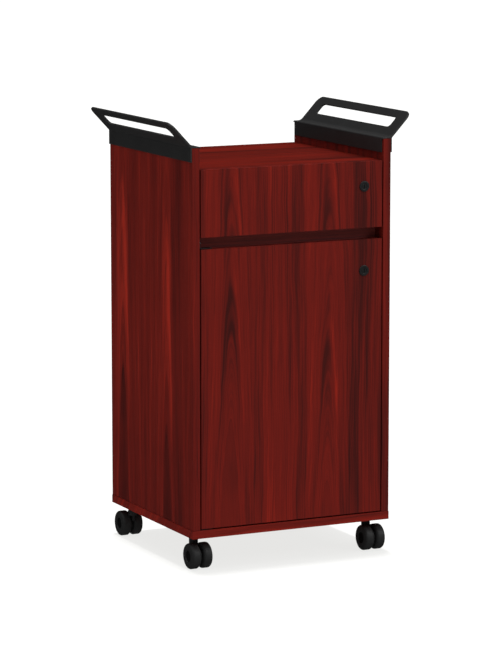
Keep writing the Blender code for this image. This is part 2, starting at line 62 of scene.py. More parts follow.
camera_data = bpy.data.cameras.new("studio_camera")
camera_data.lens = LENS
camera_data.sensor_width = 36.0
camera_data.clip_end = 120.0
camera = bpy.data.objects.new("studio_camera", camera_data)
camera.location = CAMERA_PLACE
camera.rotation_euler = (CAMERA_PITCH, 0.0, CAMERA_YAW)
bpy.context.scene.collection.objects.link(camera)
bpy.context.scene.camera = camera
bpy.context.scene.view_settings.view_transform = "Standard"


def add_light(name, kind, place, target, power, spread):
    """A lamp aimed at a point: an area lamp of the given width, or a sun of the given angle."""
    lamp = bpy.data.lights.new(name, kind)
    lamp.energy = power
    if kind == "SUN":
        lamp.angle = math.radians(spread)
    else:
        lamp.shape = "SQUARE"
        lamp.size = spread
    holder = bpy.data.objects.new(name, lamp)
    holder.location = place
    holder.rotation_euler = (Vector(target) - Vector(place)).to_track_quat("-Z", "Y").to_euler()
    bpy.context.scene.collection.objects.link(holder)
    return holder


add_light("key_light", "AREA", (3.3, -4.2, 3.4), MIDDLE, 150.0, 2.0)
add_light("fill_light", "AREA", (-4.6, -0.8, 2.4), MIDDLE, 20.0, 2.4)
add_light("overhead_light", "SUN", (0.0, 0.0, 5.0), FOOT, 3.0, 60.0)
shade_light = add_light("shade_light", "SUN", (0.07, 0.31, 6.0), FOOT, 13.0, 4.6)

world = bpy.data.worlds.new("studio")
world.use_nodes = True
room = world.node_tree.nodes["Background"]
room.inputs["Color"].default_value = (1.0, 1.0, 1.0, 1.0)
room.inputs["Strength"].default_value = 0.55
world.cycles_visibility.glossy = False
bpy.context.scene.world = world


class Wire:
    """A value on its way through a material; arithmetic on it adds the Math nodes."""

    def __init__(self, tree, socket=None):
        self.tree = tree
        self.socket = socket

    def node(self, kind, settings=None, out=0, **feeds):
        """Any node: its settings, then the values or wires of its sockets, by name or as i0, i1."""
        made = self.tree.nodes.new("ShaderNode" + kind)
        for key, value in (settings or {}).items():
            setattr(made, key, value)
        for key, value in feeds.items():
            name = key.replace("_", " ")
            plug = made.inputs[int(name[1:])] if name[1:].isdigit() else made.inputs[name]
            if isinstance(value, Wire):
                self.tree.links.new(value.socket, plug)
            else:
                plug.default_value = value
        return Wire(self.tree, made.outputs[out])

    def math(self, operation, *values):
        feeds = {f"i{index}": value for index, value in enumerate(values)}
        return self.node("Math", {"operation": operation}, **feeds)

    def __add__(self, other):
        return self.math("ADD", self, other)

    def __radd__(self, other):
        return self.math("ADD", other, self)

    def __sub__(self, other):
        return self.math("SUBTRACT", self, other)

    def __rsub__(self, other):
        return self.math("SUBTRACT", other, self)

    def __mul__(self, other):
        return self.math("MULTIPLY", self, other)

    def __rmul__(self, other):
        return self.math("MULTIPLY", other, self)

    def smooth(self, low, high):
        """0 below low, 1 above high, eased between them."""
        return self.node("MapRange", {"interpolation_type": "SMOOTHSTEP"}, i0=self, i1=low, i2=high)

    def noise(self, at, scale=1.0, detail=2.0, rough=0.5):
        return self.node("TexNoise", {"noise_dimensions": "3D"}, Vector=at, Scale=scale, Detail=detail,
                         Roughness=rough)

    def blend(self, share, first, second):
        """A mix of two colours, by a share that is a number or a wire."""
        return self.node("Mix", {"data_type": "RGBA"}, out=2, i0=share, i6=first, i7=second)

    def point(self, x, y, z):
        return self.node("CombineXYZ", i0=x, i1=y, i2=z)

    def place(self):
        """The three Object coordinates of the surface, in metres."""
        spot = self.node("TexCoord", out="Object")
        return [self.node("SeparateXYZ", out=index, i0=spot) for index in range(3)]


def new_material(name):
    """An empty material with its Principled shader, and a wire to build from."""
    made = bpy.data.materials.new(name)
    made.use_nodes = True
    shader = made.node_tree.nodes["Principled BSDF"]
    return made, shader, Wire(made.node_tree)


def feed(shader, **values):
    """Set or link sockets of a Principled shader."""
    for key, value in values.items():
        plug = shader.inputs[key.replace("_", " ")]
        if isinstance(value, Wire):
            value.tree.links.new(value.socket, plug)
        else:
            plug.default_value = value


# The sweep: pale card that goes white under the lights and a soft grey where the cabinet shades it.
bpy.ops.mesh.primitive_plane_add(size=FLOOR_SIZE, location=FOOT)
floor = bpy.context.object
floor.name = "studio_floor"
floor_card, floor_shader, wire = new_material("white_card")
feed(floor_shader, Base_Color=FLOOR_GREY, Roughness=0.9, Specular_IOR_Level=0.0,
     Emission_Color=FLOOR_GLOW, Emission_Strength=0.785)
floor.data.materials.append(floor_card)
floor.visible_glossy = False
floor_only = bpy.data.collections.new("floor_only")
floor_only.objects.link(floor)
shade_light.light_linking.receiver_collection = floor_only


# ---------------------------------------------------------------- carcass boards
# Side panels, tray top, bottom, divider, recess rail, shelf and back: particle board with a printed
# mahogany laminate on both faces and a 1 mm band glued along each edge, dowelled together.
X, Y, Z = 0, 1, 2
RED_DARK = (0.036, 0.0058, 0.0050, 1.0)
RED_MID = (0.112, 0.0082, 0.0054, 1.0)
RED_BRIGHT = (0.270, 0.0155, 0.0072, 1.0)
PORE_BROWN = (0.032, 0.0052, 0.0047, 1.0)
PLAIN = (1.0, 1.0, 1.0)
BAND = 0.0010
BAND_JOINT = 0.00028
RIM = 0.030
TAPER = 0.0024
BOARD_ROUNDING = 0.0002


def use(piece):
    """Select one piece only, and make it the active one."""
    bpy.ops.object.select_all(action="DESELECT")
    piece.select_set(True)
    bpy.context.view_layer.objects.active = piece


def apply_modifier(piece, kind, **settings):
    """Add one modifier to a piece, and apply it."""
    use(piece)
    added = piece.modifiers.new(kind.lower(), kind)
    for key, value in settings.items():
        setattr(added, key, value)
    bpy.ops.object.modifier_apply(modifier=added.name)


def round_edges(piece, width, segments=3, above=25.0):
    """Round each edge that turns more than an angle, and keep the flat faces flat in the shading."""
    apply_modifier(piece, "BEVEL", width=width, segments=segments, limit_method="ANGLE",
                   angle_limit=math.radians(above))
    bpy.ops.object.shade_smooth_by_angle(angle=math.radians(40))
    apply_modifier(piece, "WEIGHTED_NORMAL", keep_sharp=True)


def soften(node, name, width, segments=2, above=25.0):
    """A finer copy of a CAD piece: merged, its flat faces made whole, and its edges rounded."""
    piece = bpy.data.objects.new(name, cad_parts[node].data.copy())
    bpy.context.scene.collection.objects.link(piece)
    use(piece)
    bpy.ops.object.mode_set(mode="EDIT")
    bpy.ops.mesh.select_all(action="SELECT")
    bpy.ops.mesh.remove_doubles(threshold=0.00002)
    bpy.ops.mesh.dissolve_limited(angle_limit=math.radians(1.0))
    bpy.ops.object.mode_set(mode="OBJECT")
    round_edges(piece, width, segments, above)
    return piece


def place_piece(piece, look, slot, body, *nodes):
    """Give a piece its finish, its body, and the CAD nodes that it stands for.

    With no finish given, the mesh keeps the ones that it already has."""
    if look:
        piece.data.materials.clear()
        piece.data.materials.append(look)
    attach(piece, body)
    if nodes:
        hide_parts(*nodes)


def laminate(name, node, across, along, hearts=(), bands=(), seed=0.0, light_and_shade_tint=PLAIN):
    """Printed mahogany: straight fine grain, with a pointed figure below the tip of each heart.

    across and along are the axes over and with the grain. A heart is the place across of a figure,
    the place along of its tip, and the side on which its bright rim lies. A band is the place
    across, half width and strength of a lighter or darker stripe. A thin dark line shows the joint
    of the edge band."""
    made, shader, wire = new_material(name)
    spot = wire.place()
    depth = 3 - across - along
    u, v, w = spot[across], spot[along], spot[depth]
    sway = wire.noise(wire.point(u * 5.0 + seed, v * 2.4, w * 3.0), 1.0, 1.0) - 0.5
    flutter = wire.noise(wire.point(u * 30.0 + seed, v * 16.0, w * 3.0), 1.0, 1.0) - 0.5
    lick = wire.noise(wire.point(u * 40.0, v * 9.0, seed + 5.0), 1.0, 1.0)
    bent = u + sway * 0.018 + flutter * 0.0055
    rings = bent
    figure = 0.0
    for index, (middle, tip, side) in enumerate(hearts):
        aside = bent - middle
        near = 1.0 - wire.math("ABSOLUTE", aside).smooth(0.030, 0.085)
        climb = (v - tip) * TAPER + RIM * RIM
        ring = wire.math("SQRT", wire.math("MAXIMUM", aside * aside + climb * near, 0.00002))
        rings = ring if index == 0 else wire.math("SMOOTH_MIN", rings, ring, 0.02)
        rim = 1.0 - wire.math("ABSOLUTE", ring - RIM).smooth(0.0, 0.0070)
        rim = rim * (aside * side).smooth(-0.006, 0.010) * v.smooth(tip - 0.60, tip - 0.10)
        core = (1.0 - ring.smooth(0.0, RIM * 0.55)) * v.smooth(tip + 0.10, tip - 0.30)
        figure = figure + rim * (lick * 0.62 + 0.04) - core * (lick * 0.30 + 0.08)
    rings = rings + w * 0.7
    broad = wire.noise(wire.point(rings * 13.0 + seed, v * 0.9, seed), 1.0, 1.0)
    flame = wire.noise(wire.point(rings * 46.0 + seed, v * 1.8, seed + 1.0), 1.0, 1.0)
    streak = wire.noise(wire.point(rings * 120.0 + seed, v * 2.6, seed + 3.0), 1.0, 2.0, 0.6)
    line = wire.noise(wire.point(rings * 330.0, v * 3.0, seed + 7.0), 1.0, 2.0, 0.75)
    hair = wire.noise(wire.point((bent + w) * 1300.0, v * 14.0, seed + 9.0), 1.0, 1.0)
    tone = (broad - 0.5) * 0.85 + (flame - 0.5) * 0.52 + (streak - 0.5) * 0.60 + (line - 0.5) * 0.80
    tone = tone + figure + 0.455
    for middle, half, strength in bands:
        tone = tone + (1.0 - wire.math("ABSOLUTE", bent - middle).smooth(0.0, half)) * strength
    colour = wire.blend(tone.smooth(0.02, 0.52), RED_DARK, RED_MID)
    colour = wire.blend(tone.smooth(0.48, 1.05), colour, RED_BRIGHT)
    pores = hair.smooth(0.56, 0.74) * 0.45
    low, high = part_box(node)
    seam = 0.0
    for axis in (across, along):
        edge = wire.math("MINIMUM", spot[axis] - low[axis], high[axis] - spot[axis]) - BAND
        seam = wire.math("MAXIMUM", seam, 1.0 - wire.math("ABSOLUTE", edge).smooth(0.0, BAND_JOINT))
    colour = wire.blend(wire.math("MAXIMUM", pores, seam * 0.7), colour, PORE_BROWN)
    # The tint multiplies the print by a colour set per board in BOARDS: painted shade on the left side
    # panel and the pull rail, painted light on the tray top.
    if light_and_shade_tint != PLAIN:
        colour = wire.node("Mix", {"data_type": "RGBA", "blend_type": "MULTIPLY"}, out=2, i0=1.0,
                           i6=colour, i7=(*light_and_shade_tint, 1.0))
    gloss = 0.43 + (line - 0.5) * 0.12 + pores * 0.3
    relief = wire.node("Bump", Strength=0.12, Distance=0.0002, Height=hair * 0.6 + line * 0.4 - seam)
    feed(shader, Base_Color=colour, Roughness=gloss, Normal=relief, Specular_IOR_Level=0.03)
    return made


TOP_BANDS = ((0.105, 0.030, -0.22), (0.020, 0.012, -0.14), (-0.135, 0.012, -0.16),
             (0.195, 0.016, -0.18))
SIDE_BANDS = ((-0.042, 0.020, 0.14), (0.200, 0.040, 0.06), (-0.155, 0.060, -0.14))
# The last column is each board's tint. The left side panel's is painted shade, a little darker than the
# front. The tray top's is painted light, a brighter and warmer red as if lit from above. The pull
# rail's is painted shade, its red turned grey-brown as it looks deep in the shaded recess.
BOARDS = (
    ("side_panel_left", Y, Z, ((0.164, 0.777, -1), (-0.089, 0.65, -1)), SIDE_BANDS, 5.1,
     (0.90, 0.93, 0.97)),
    ("side_panel_right", Y, Z, ((-0.15, 0.72, 1), (0.10, 0.60, 1)), SIDE_BANDS, 8.4, PLAIN),
    ("top_panel", Y, X, (), TOP_BANDS, 2.2, (1.08, 1.0, 0.88)),
    ("bottom_panel", Y, X, (), (), 3.7, PLAIN),
    ("divider_panel", Y, X, (), (), 4.5, PLAIN),
    ("pull_rail", Z, X, (), (), 6.8, (1.15, 2.8, 3.6)),
    ("shelf", Y, X, (), (), 7.3, PLAIN),
    ("back_panel", X, Z, ((-0.12, 0.70, 1), (0.11, 0.50, 1)), (), 6.0, PLAIN),
)
for node, across, along, hearts, bands, seed, light_and_shade_tint in BOARDS:
    board = soften(node, f"{node}_board", BOARD_ROUNDING)
    place_piece(board, laminate(f"mahogany_{node}", node, across, along, hearts, bands, seed, light_and_shade_tint),
                "mahogany_laminate", "cabinet", node)


# ---------------------------------------------------------------- shelf pins
# Four plated steel pins, turned with a step that the shelf rests on. Each one is pushed into a hole
# bored in a side panel.
ZINC_GREY = (0.42, 0.43, 0.44, 1.0)
ZINC_WARM = (0.441, 0.43, 0.3872, 1.0)
PIN_ROUNDING = 0.0002


def zinc(name):
    """Zinc plating, with the faint clouds and the drawing lines that plated sheet keeps."""
    made, shader, wire = new_material(name)
    spot = wire.node("TexCoord", out="Object")
    cloud = wire.noise(spot, 60.0, 3.0)
    drawn = wire.node("VectorMath", {"operation": "MULTIPLY"}, i0=spot, i1=(2600.0, 90.0, 2600.0))
    lines = wire.noise(drawn, 1.0, 1.0)
    colour = wire.blend(cloud.smooth(0.35, 0.7), ZINC_GREY, ZINC_WARM)
    rough = 0.34 + (cloud - 0.5) * 0.2 + (lines - 0.5) * 0.1
    feed(shader, Base_Color=colour, Metallic=0.55, Roughness=rough,
         Normal=wire.node("Bump", Strength=0.1, Distance=0.0001, Height=lines))
    return made


ZINC = zinc("zinc_plate")
for row in ("left_front", "left_back", "right_front", "right_back"):
    pin = soften(f"shelf_pin_{row}", f"shelf_pin_{row}_turned", PIN_ROUNDING, 2, 20.0)
    place_piece(pin, ZINC, "zinc_plate", "cabinet", f"shelf_pin_{row}")


# ---------------------------------------------------------------- handles
# Two handles of black powder-coated steel sheet. Each one saddles the top edge of a side panel and
# sweeps up into a sloping grip plate with one long slot. Its inner flange stops short of both ends.
FIT = 0.0003
SHEET = 0.0025
PLATE = 0.0045
SLOPE = math.radians(46.7)
SWEEP = 0.017
INNER_BEND = 0.003
GRIP_BAR = 0.0202
SLOT_HEIGHT = 0.0304
SLOT_ENDS = 0.043
SLOT_CORNER = 0.009
GRIP_CORNER = 0.020
FLANGE_SETBACK = 0.006
SHEET_ROUNDING = 0.0006
CUT_REACH = 0.016
CUT_OVER = 0.01


def arc(centre, radius, start, end, steps):
    """Points of an arc in a plane, from one angle in degrees to another."""
    angles = (math.radians(start + (end - start) * step / steps) for step in range(steps + 1))
    return [(centre[0] + radius * math.cos(a), centre[1] + radius * math.sin(a)) for a in angles]


def draw(name, points):
    """Draw a line of points in edit mode: a plane is merged to one point and drawn out step by step."""
    bpy.ops.object.select_all(action="DESELECT")
    bpy.ops.mesh.primitive_plane_add(size=0.01, location=points[0])
    piece = bpy.context.object
    piece.name = name
    bpy.ops.object.transform_apply(location=True, rotation=True, scale=True)
    bpy.ops.object.mode_set(mode="EDIT")
    bpy.ops.mesh.select_mode(type="VERT")
    bpy.ops.mesh.select_all(action="SELECT")
    bpy.ops.mesh.merge(type="CENTER")
    for start, end in zip(points, points[1:]):
        step = Vector(end) - Vector(start)
        bpy.ops.mesh.extrude_region_move(TRANSFORM_OT_translate={"value": step})
    bpy.ops.mesh.select_all(action="SELECT")
    return piece


def slab(name, points, travel):
    """A solid drawn as a flat outline, filled, and pulled out along a vector."""
    piece = draw(name, points)
    bpy.ops.mesh.edge_face_add()
    bpy.ops.mesh.extrude_region_move(TRANSFORM_OT_translate={"value": travel})
    bpy.ops.mesh.select_all(action="SELECT")
    bpy.ops.mesh.normals_make_consistent(inside=False)
    bpy.ops.object.mode_set(mode="OBJECT")
    return piece


def carve(piece, tool, operation="DIFFERENCE"):
    """Cut a tool out of a piece, or join it on, and throw the tool away."""
    apply_modifier(piece, "BOOLEAN", operation=operation, object=tool)
    bpy.data.objects.remove(tool, do_unlink=True)


def brick(name, low, high, edge=0.0, segments=2):
    """A block between two corners, its edges rounded in edit mode."""
    low, high = Vector(low), Vector(high)
    bpy.ops.object.select_all(action="DESELECT")
    bpy.ops.mesh.primitive_cube_add(size=1.0, location=(low + high) / 2, scale=high - low)
    piece = bpy.context.object
    piece.name = name
    bpy.ops.object.transform_apply(location=True, rotation=True, scale=True)
    if edge:
        bpy.ops.object.mode_set(mode="EDIT")
        bpy.ops.mesh.select_all(action="SELECT")
        bpy.ops.mesh.bevel(offset=edge, segments=segments, affect="EDGES")
        bpy.ops.object.mode_set(mode="OBJECT")
    return piece


def powder_coat(name, level, rough):
    """Powder coat: a fine orange peel, with faint paler clouds."""
    made, shader, wire = new_material(name)
    spot = wire.node("TexCoord", out="Object")
    peel = wire.noise(spot, 1500.0, 2.0)
    cloud = wire.noise(spot, 26.0, 2.0)
    pale = [share * 1.35 for share in level]
    colour = wire.blend(cloud, (*level, 1.0), (*pale, 1.0))
    relief = wire.node("Bump", Strength=0.3, Distance=0.0001, Height=peel)
    feed(shader, Base_Color=colour, Roughness=rough + (peel - 0.5) * 0.2, Normal=relief,
         Specular_IOR_Level=0.3)
    return made


POWDER_COAT = powder_coat("black_powder_coat", (0.0135, 0.0135, 0.0137), 0.5)
panel_low, panel_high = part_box("side_panel_right")
grip_low, grip_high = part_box("handle_right")
rise = Vector((math.cos(SLOPE), 0.0, math.sin(SLOPE)))
down = Vector((math.sin(SLOPE), 0.0, -math.cos(SLOPE)))
tip = Vector((grip_high.x - PLATE * down.x, 0.0, grip_high.z))
saddle = panel_high.z + FIT + SHEET
foot_x = tip.x - (tip.z - saddle) / math.tan(SLOPE)
inside = panel_low.x - FIT
outside = panel_high.x + FIT
under_tip = tip + down * PLATE
under_foot = under_tip.z - (under_tip.x - outside - SHEET) * math.tan(SLOPE)
section = [(inside, grip_low.z), (inside - SHEET, grip_low.z)]
section += arc((inside - SHEET + INNER_BEND, saddle - INNER_BEND), INNER_BEND, 180, 90, 8)
section += arc((foot_x - SWEEP * math.tan(SLOPE / 2), saddle + SWEEP), SWEEP, -90,
               math.degrees(SLOPE) - 90, 16)
section += [(tip.x, tip.z), (under_tip.x, under_tip.z), (outside + SHEET, under_foot),
            (outside + SHEET, grip_low.z), (outside, grip_low.z), (outside, panel_high.z + FIT),
            (inside, panel_high.z + FIT)]
middle_y = (grip_low.y + grip_high.y) / 2
half_y = (grip_high.y - grip_low.y) / 2
handle = slab("handle_right_sheet", [(x, grip_low.y, z) for x, z in section], (0, 2 * half_y, 0))

slot_middle = tip + down * PLATE / 2 - rise * (GRIP_BAR + SLOT_HEIGHT / 2)
slot_outline = []
for corner in range(4):
    side = 1 if corner in (0, 3) else -1
    level = 1 if corner < 2 else -1
    centre = (side * (half_y - SLOT_ENDS - SLOT_CORNER), level * (SLOT_HEIGHT / 2 - SLOT_CORNER))
    slot_outline += arc(centre, SLOT_CORNER, corner * 90, corner * 90 + 90, 12)
start = slot_middle + Vector((0, middle_y, 0)) - down * CUT_REACH / 2
slot_points = [start + Vector((0, y, 0)) + rise * up for y, up in slot_outline]
carve(handle, slab("slot_cut", slot_points, down * CUT_REACH))
for end in (-1, 1):
    corner = [(CUT_OVER, CUT_OVER), (-GRIP_CORNER, CUT_OVER)]
    corner += arc((-GRIP_CORNER, -GRIP_CORNER), GRIP_CORNER, 90, 0, 14)
    corner += [(CUT_OVER, -GRIP_CORNER)]
    start = tip + Vector((0, middle_y + end * half_y, 0)) + down * (PLATE - CUT_REACH) / 2
    points = [start + Vector((0, end * y, 0)) + rise * up for y, up in corner]
    carve(handle, slab("corner_cut", points, down * CUT_REACH))
    near = middle_y + end * (half_y - FLANGE_SETBACK)
    far = middle_y + end * half_y * 2
    carve(handle, brick("setback_cut",
                        (inside - CUT_OVER, min(near, far), grip_low.z - CUT_OVER),
                        (inside + FIT / 2, max(near, far), panel_high.z - 0.0005)))

mirrored = bpy.data.objects.new("handle_left_sheet", handle.data.copy())
bpy.context.scene.collection.objects.link(mirrored)
mirrored.data.transform(Matrix.Diagonal((-1.0, 1.0, 1.0, 1.0)))
mirrored.data.flip_normals()
for piece, node in ((handle, "handle_right"), (mirrored, "handle_left")):
    round_edges(piece, SHEET_ROUNDING, 3, 24.0)
    place_piece(piece, POWDER_COAT, "black_powder_coat", "cabinet", node)

# The handles cast no shade on the sweep, so that only the cabinet's outline lies on it.
shadeless = bpy.data.collections.new("cast_no_shade_on_floor")
shadeless.objects.link(handle)
shadeless.objects.link(mirrored)
for entry in shadeless.collection_objects:
    entry.light_linking.link_state = "EXCLUDE"
shade_light.light_linking.blocker_collection = shadeless


# ---------------------------------------------------------------- screws
# Zinc-plated pan-head screws with a cross recess, turned and punched once; they hold the slides,
# the strikes, the pivots and the lock cams.
SCREW_RADIUS = 0.0030
SCREW_HEIGHT = 0.0014
CROSS_WIDTH = 0.0009
CROSS_LENGTH = 0.0034


def turn(name, profile, centre, axis, steps=48):
    """A turned solid: a half profile of (distance along the axis, radius), drawn and spun once round.

    A profile that starts and ends on the axis makes a solid, and one that closes makes a ring."""
    along = Vector([1.0 if "XYZ"[i] == axis else 0.0 for i in range(3)])
    out = Vector((0.0, 0.0, 1.0)) if axis != "Z" else Vector((0.0, 1.0, 0.0))
    centre = Vector(centre)
    piece = draw(name, [centre + along * a + out * r for a, r in profile])
    bpy.ops.mesh.spin(steps=steps, angle=2 * math.pi, center=centre, axis=along)
    bpy.ops.mesh.select_all(action="SELECT")
    bpy.ops.mesh.remove_doubles(threshold=0.00001)
    bpy.ops.mesh.normals_make_consistent(inside=False)
    bpy.ops.object.mode_set(mode="OBJECT")
    return piece


dome = [(SCREW_HEIGHT * math.sin(a), SCREW_RADIUS * math.cos(a) ** 0.6)
        for a in (math.radians(step * 15) for step in range(6))]
pattern = turn("screw_pattern", [(0, 0), *dome, (SCREW_HEIGHT, 0)], (0, 0, 0), "Z", 24)
for wide, tall in ((CROSS_LENGTH, CROSS_WIDTH), (CROSS_WIDTH, CROSS_LENGTH)):
    carve(pattern, brick("cross_cut", (-wide / 2, -tall / 2, SCREW_HEIGHT * 0.3),
                         (wide / 2, tall / 2, SCREW_HEIGHT * 2)))
round_edges(pattern, 0.00008, 1, 30.0)
SCREW = pattern.data.copy()
bpy.data.objects.remove(pattern, do_unlink=True)


def drive_screws(name, body, spots):
    """A group of screw heads: each spot is the middle of its seat and the way that its head faces."""
    shape = bmesh.new()
    for place, facing in spots:
        seat = SCREW.copy()
        aim = Vector(facing).to_track_quat("Z", "Y").to_matrix().to_4x4()
        seat.transform(Matrix.Translation(place) @ aim)
        shape.from_mesh(seat)
        bpy.data.meshes.remove(seat)
    group = bpy.data.objects.new(name, bpy.data.meshes.new(name))
    shape.to_mesh(group.data)
    shape.free()
    bpy.context.scene.collection.objects.link(group)
    use(group)
    bpy.ops.object.shade_smooth_by_angle(angle=math.radians(35))
    place_piece(group, ZINC, "zinc_plate", body)


# ---------------------------------------------------------------- drawer
# The laminate front, and behind it a box of thinner birch-print board: two sides, an inner front, a
# back, and a bottom in grooves.
BIRCH_DARK = (0.47, 0.33, 0.19, 1.0)
BIRCH_PALE = (0.66, 0.52, 0.34, 1.0)
BOX_ROUNDING = 0.0005


def birch_board(name, across, along, seed):
    """Pale birch print on the drawer box: fine straight grain with soft darker bands."""
    made, shader, wire = new_material(name)
    spot = wire.place()
    depth = 3 - across - along
    u, v, w = spot[across], spot[along], spot[depth]
    sway = wire.noise(wire.point(u * 5.0, v * 2.5, seed), 1.0, 1.0) - 0.5
    bent = u + w + sway * 0.02
    band = wire.noise(wire.point(bent * 60.0, v * 2.0, seed), 1.0, 2.0)
    fibre = wire.noise(wire.point(bent * 900.0, v * 12.0, seed), 1.0, 2.0)
    tone = band * 0.7 + fibre * 0.3
    colour = wire.blend(tone.smooth(0.3, 0.7), BIRCH_DARK, BIRCH_PALE)
    relief = wire.node("Bump", Strength=0.1, Distance=0.0002, Height=fibre)
    feed(shader, Base_Color=colour, Roughness=0.5 + (fibre - 0.5) * 0.15, Normal=relief,
         Specular_IOR_Level=0.2)
    return made


FRONT_BANDS = ((0.047, 0.020, 0.15), (-0.210, 0.030, 0.10), (0.180, 0.080, -0.12),
               (-0.060, 0.060, 0.08))
FRONT_SEED = 1.3
DRAWER_HEARTS = ((-0.158, 0.945, 1), (0.094, 0.905, 1))
front = soften("drawer_front", "drawer_front_board", BOARD_ROUNDING)
front_print = laminate("mahogany_drawer", "drawer_front", X, Z, DRAWER_HEARTS, FRONT_BANDS,
                       FRONT_SEED)
place_piece(front, front_print, "mahogany_laminate", "drawer", "drawer_front")
for node, across, along, seed in (("drawer_side_left", Z, Y, 1.0), ("drawer_side_right", Z, Y, 2.0),
                                  ("drawer_inner_front", Z, X, 3.0), ("drawer_back", Z, X, 4.0),
                                  ("drawer_bottom", X, Y, 5.0)):
    board = soften(node, f"{node}_board", BOX_ROUNDING)
    place_piece(board, birch_board(f"birch_{node}", across, along, seed), "drawer_box_board",
                "drawer", node)


# ---------------------------------------------------------------- drawer slides
# Two telescopic slides of rolled, plated steel. A cabinet member and a drawer member, each held by
# three screws, run on a middle member between them.
SLIDE_STEEL = 0.0013
SLIDE_ROUNDING = 0.0005
SLIDE_SCREWS = (0.035, 0.200, 0.365)
for hand, side in (("left", -1), ("right", 1)):
    members = (("cabinet", "cabinet"), ("middle", f"slide_{hand}_middle"), ("drawer", "drawer"))
    for member, body in members:
        node = f"slide_{hand}_{member}"
        rail = soften(node, f"{node}_rail", SLIDE_ROUNDING, 3)
        place_piece(rail, ZINC, "zinc_plate", body, node)
    low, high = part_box(f"slide_{hand}_cabinet")
    level = (low.z + high.z) / 2
    wall = high.x - SLIDE_STEEL if side > 0 else low.x + SLIDE_STEEL
    spots = [((wall, low.y + run, level), (-side, 0, 0)) for run in SLIDE_SCREWS]
    drive_screws(f"slide_{hand}_cabinet_screws", "cabinet", spots)
    low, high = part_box(f"slide_{hand}_drawer")
    wall = low.x + SLIDE_STEEL if side > 0 else high.x - SLIDE_STEEL
    spots = [((wall, low.y + run, level), (side, 0, 0)) for run in SLIDE_SCREWS]
    drive_screws(f"slide_{hand}_drawer_screws", "drawer", spots)


# ---------------------------------------------------------------- cam locks
# Two black cam locks: a body with a round cap, clamped through the board by a nut, and a plug with a
# keyway that turns a steel cam behind a strike.
LOCK_BLACK = powder_coat("black_lock_metal", (0.0070, 0.0074, 0.0076), 0.4)
CAP_THICK = 0.0017
CAP_ROUNDING = 0.0011
BARREL = 0.0092
PLUG = 0.0062
TAIL = 0.0038
TAIL_PROUD = 0.0015
HEAD_SUNK = 0.0005
KEYWAY_HALF = 0.0009
KEYWAY_RISE = 0.0042
KEYWAY_REACH = 0.0080
CAM_ROUNDING = 0.0002
STEEL_ROUNDING = 0.0004
for owner in ("drawer", "door"):
    low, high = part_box(f"{owner}_lock_body")
    centre = ((low.x + high.x) / 2, low.y, (low.z + high.z) / 2)
    cap = (high.x - low.x) / 2
    depth = high.y - low.y
    bore = PLUG + FIT
    profile = [(depth, bore), (HEAD_SUNK, bore), (0.0001, bore + 0.0005), (0.0, bore + 0.0010),
               (0.0, cap - CAP_ROUNDING)]
    profile += arc((CAP_ROUNDING, cap - CAP_ROUNDING), CAP_ROUNDING, 162, 90, 4)
    profile += [(CAP_THICK, cap), (CAP_THICK, BARREL), (depth, BARREL), (depth, bore)]
    body = turn(f"{owner}_lock_cap", profile, centre, "Y", 64)
    round_edges(body, 0.00012, 2, 40.0)
    place_piece(body, LOCK_BLACK, "black_lock_metal", owner, f"{owner}_lock_body")

    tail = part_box(f"{owner}_lock_cam")[1].y + TAIL_PROUD - centre[1]
    profile = [(HEAD_SUNK, 0), (HEAD_SUNK, PLUG - 0.0004), (HEAD_SUNK + 0.0004, PLUG), (depth, PLUG),
               (depth, TAIL), (tail, TAIL), (tail, 0)]
    plug = turn(f"{owner}_lock_cylinder", profile, centre, "Y", 48)
    keyway = Vector((KEYWAY_HALF, KEYWAY_REACH, KEYWAY_RISE))
    carve(plug, brick("keyway_cut", Vector(centre) - keyway, Vector(centre) + keyway, 0.0004))
    round_edges(plug, 0.0001, 2, 40.0)
    place_piece(plug, LOCK_BLACK, "black_lock_metal", f"{owner}_lock", f"{owner}_lock_plug")

    nut = soften(f"{owner}_lock_nut", f"{owner}_lock_hex_nut", STEEL_ROUNDING, 3)
    place_piece(nut, ZINC, "zinc_plate", owner, f"{owner}_lock_nut")
    cam = soften(f"{owner}_lock_cam", f"{owner}_lock_blade", CAM_ROUNDING, 2)
    place_piece(cam, ZINC, "zinc_plate", f"{owner}_lock", f"{owner}_lock_cam")
    drive_screws(f"{owner}_lock_cam_screw", f"{owner}_lock",
                 [((centre[0], centre[1] + tail, centre[2]), (0, 1, 0))])


# ---------------------------------------------------------------- strikes
# Folded, plated steel angles that the cams turn behind, each held by two screws: one under the tray
# top for the drawer, one on the right side panel for the door.
STRIKE_STEEL = 0.0016
STRIKE_SCREW_SPREAD = 0.010
low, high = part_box("drawer_strike")
strike = soften("drawer_strike", "drawer_strike_angle", STEEL_ROUNDING, 3)
place_piece(strike, ZINC, "zinc_plate", "cabinet", "drawer_strike")
seat = (low.y + (high.y - STRIKE_STEEL)) / 2
spots = [(((low.x + high.x) / 2 + spread, seat, high.z - STRIKE_STEEL), (0, 0, -1))
         for spread in (-STRIKE_SCREW_SPREAD, STRIKE_SCREW_SPREAD)]
low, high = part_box("door_strike")
strike = soften("door_strike", "door_strike_angle", STEEL_ROUNDING, 3)
place_piece(strike, ZINC, "zinc_plate", "cabinet", "door_strike")
seat = (low.y + STRIKE_STEEL + high.y) / 2
spots += [((high.x - STRIKE_STEEL, seat, (low.z + high.z) / 2 + spread), (-1, 0, 0))
          for spread in (-STRIKE_SCREW_SPREAD, STRIKE_SCREW_SPREAD)]
drive_screws("strike_screws", "cabinet", spots)


